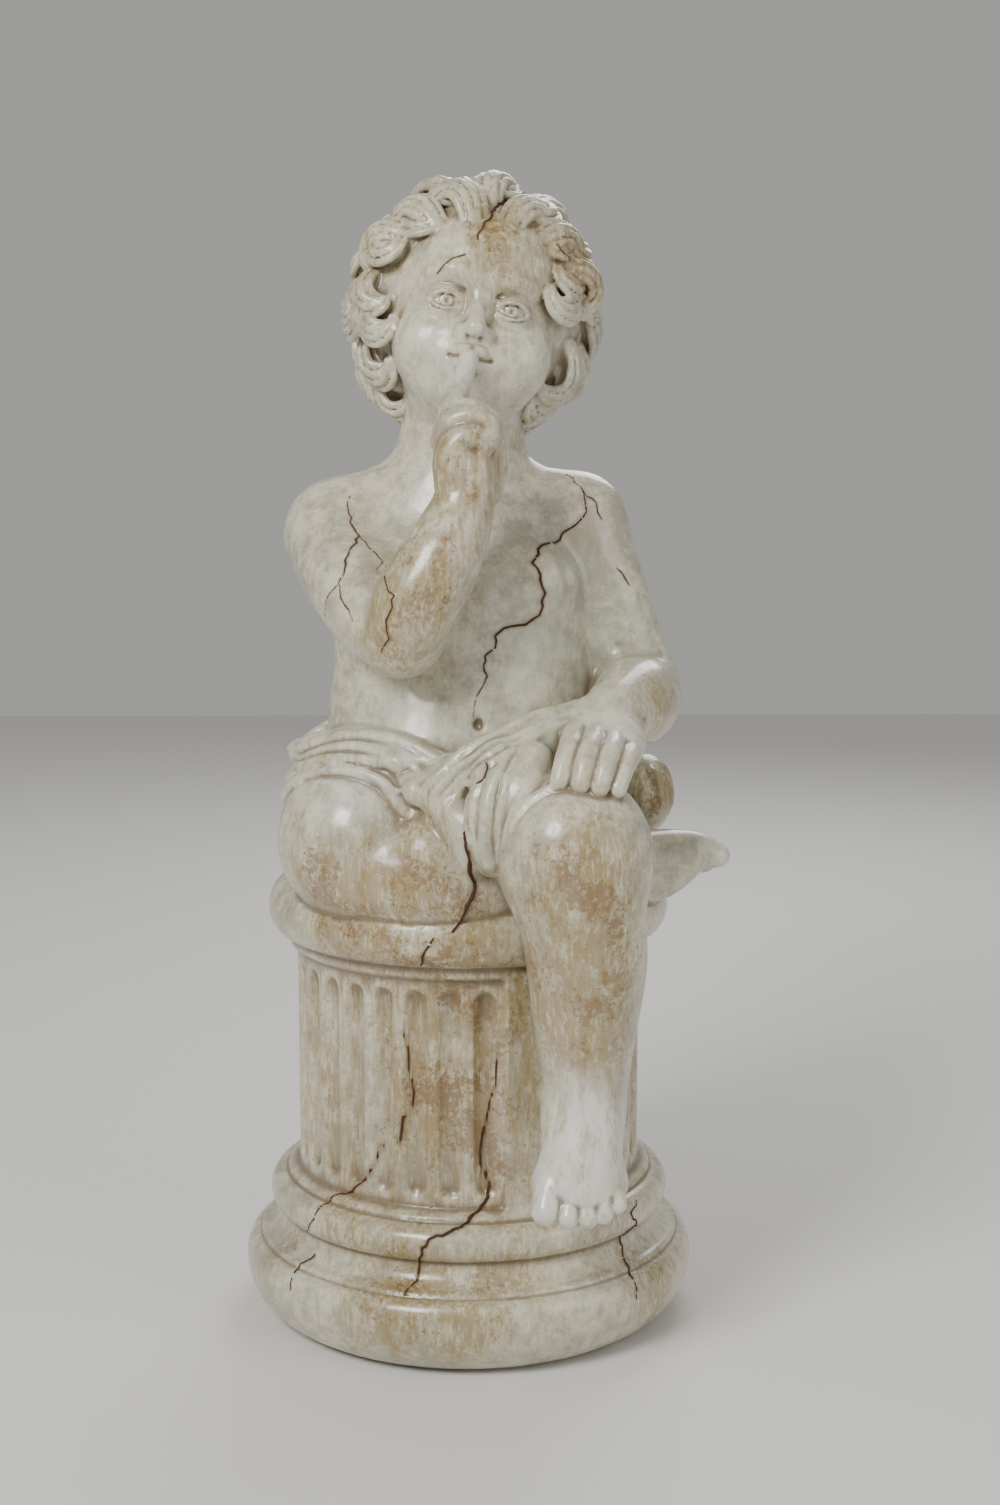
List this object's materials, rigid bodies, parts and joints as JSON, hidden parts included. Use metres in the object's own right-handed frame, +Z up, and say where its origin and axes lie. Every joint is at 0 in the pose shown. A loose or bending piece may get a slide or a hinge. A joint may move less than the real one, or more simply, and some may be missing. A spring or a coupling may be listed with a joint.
{
  "type": "angel statue",
  "caption": "Seated cherub with a finger to its lips, one leg folded and one hanging, on a round fluted column, cast as one glazed piece.",
  "frame": {"origin": "centre of the column's flat underside, on the floor", "axes": "+Z up through the column's axis, -Y the way the figure faces, +X to the figure's left"},
  "size_m": [0.2981, 0.3144, 0.6998],
  "materials": {
    "glazed_stone_cast": "glossy antique glaze over a cream cast, washed tan and orange, with thin dark-brown cracks"
  },
  "bodies": {
    "root": {"cherub_statue": "glazed_stone_cast"}
  },
  "joints": []
}
